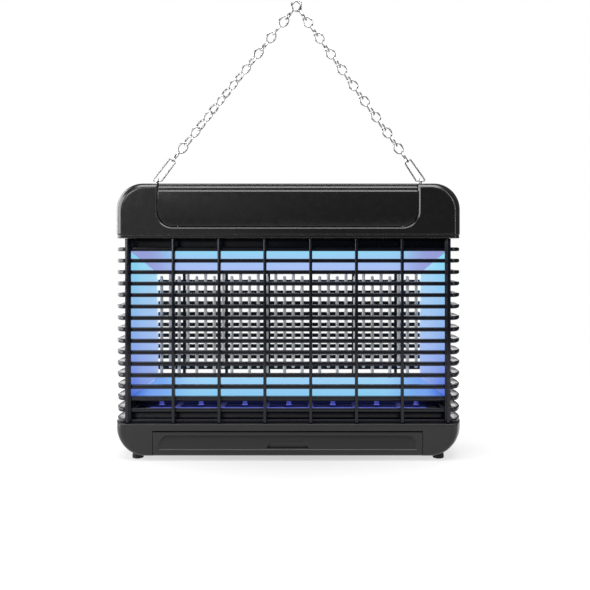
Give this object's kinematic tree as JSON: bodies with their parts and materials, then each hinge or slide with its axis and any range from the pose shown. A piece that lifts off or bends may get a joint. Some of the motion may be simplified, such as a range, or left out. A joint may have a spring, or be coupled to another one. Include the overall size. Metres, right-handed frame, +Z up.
{
  "type": "electric bug zapper",
  "caption": "Hanging electric insect killer: ultraviolet light panels around a high-voltage rod grid behind finned guards, with a pull-out insect tray and a chain to hang it by.",
  "frame": {"origin": "floor under the middle of the unit, at the bottom of the feet", "axes": "+X to the right seen from the front, -Y out of the front guard, +Z up"},
  "size_m": [0.386, 0.09, 0.5144],
  "materials": {
    "black_shell": "black ABS housing with a soft satin sheen and a fine moulded grain",
    "black_guard": "black ABS guards, frame and deck, satin",
    "base_shell": "dark grey ABS base and drawer, satin",
    "light_panel": "frosted light-blue panels lit from behind by ultraviolet LEDs",
    "led_board": "white LED circuit boards",
    "insulator": "cream insulating plastic and capacitor case",
    "electrode_metal": "bare steel rods",
    "screw_steel": "dark zinc plated screws",
    "circuit_board": "green circuit board",
    "transformer": "ferrite core and black bobbin",
    "rubber": "black rubber feet and cord gland",
    "hanger_chrome": "bright plated wire and eyes",
    "chain_chrome": "bright plated chain wire"
  },
  "bodies": {
    "unit": {"top_housing_front": "black_shell", "top_housing_rear": "black_shell", "top_cover": "black_shell", "housing_floor": "black_shell", "front_guard": "black_guard", "rear_guard": "black_guard", "lamp_frame": "black_guard", "bottom_deck": "black_guard", "base_housing": "base_shell", "front_diffuser_top": "light_panel", "front_diffuser_bottom": "light_panel", "front_diffuser_left": "light_panel", "front_diffuser_right": "light_panel", "rear_diffuser_top": "light_panel", "rear_diffuser_bottom": "light_panel", "rear_diffuser_left": "light_panel", "rear_diffuser_right": "light_panel", "led_board_top": "led_board", "led_board_bottom": "led_board", "led_board_left": "led_board", "led_board_right": "led_board", "grid_insulator_upper": "insulator", "grid_insulator_lower": "insulator", "storage_capacitor": "insulator", "upper_electrode": "electrode_metal", "lower_electrode": "electrode_metal", "housing_screw_left": "screw_steel", "housing_screw_right": "screw_steel", "driver_board": "circuit_board", "high_voltage_transformer": "transformer", "cord_gland": "rubber", "foot_front_left": "rubber", "foot_front_right": "rubber", "foot_rear_left": "rubber", "foot_rear_right": "rubber", "hanger_eye_left": "hanger_chrome", "hanger_eye_right": "hanger_chrome"},
    "chain": {"hanger_bail_left": "hanger_chrome", "hanger_bail_right": "hanger_chrome", "chain_link_left_01": "chain_chrome", "chain_link_left_02": "chain_chrome", "chain_link_left_03": "chain_chrome", "chain_link_left_04": "chain_chrome", "chain_link_left_05": "chain_chrome", "chain_link_left_06": "chain_chrome", "chain_link_left_07": "chain_chrome", "chain_link_left_08": "chain_chrome", "chain_link_left_09": "chain_chrome", "chain_link_left_10": "chain_chrome", "chain_link_right_01": "chain_chrome", "chain_link_right_02": "chain_chrome", "chain_link_right_03": "chain_chrome", "chain_link_right_04": "chain_chrome", "chain_link_right_05": "chain_chrome", "chain_link_right_06": "chain_chrome", "chain_link_right_07": "chain_chrome", "chain_link_right_08": "chain_chrome", "chain_link_right_09": "chain_chrome", "chain_link_right_10": "chain_chrome"},
    "tray": {"collection_tray": "base_shell"}
  },
  "joints": [
    {"name": "chain_swing", "type": "hinge", "parent": "unit", "child": "chain", "pos_m": [0, 0, 0.3076], "axis": [1, 0, 0], "range_deg": [-82, 82]},
    {"name": "tray_slide", "type": "slide", "parent": "unit", "child": "tray", "axis": [0, -1, 0], "range_m": [0, 0.078]}
  ]
}
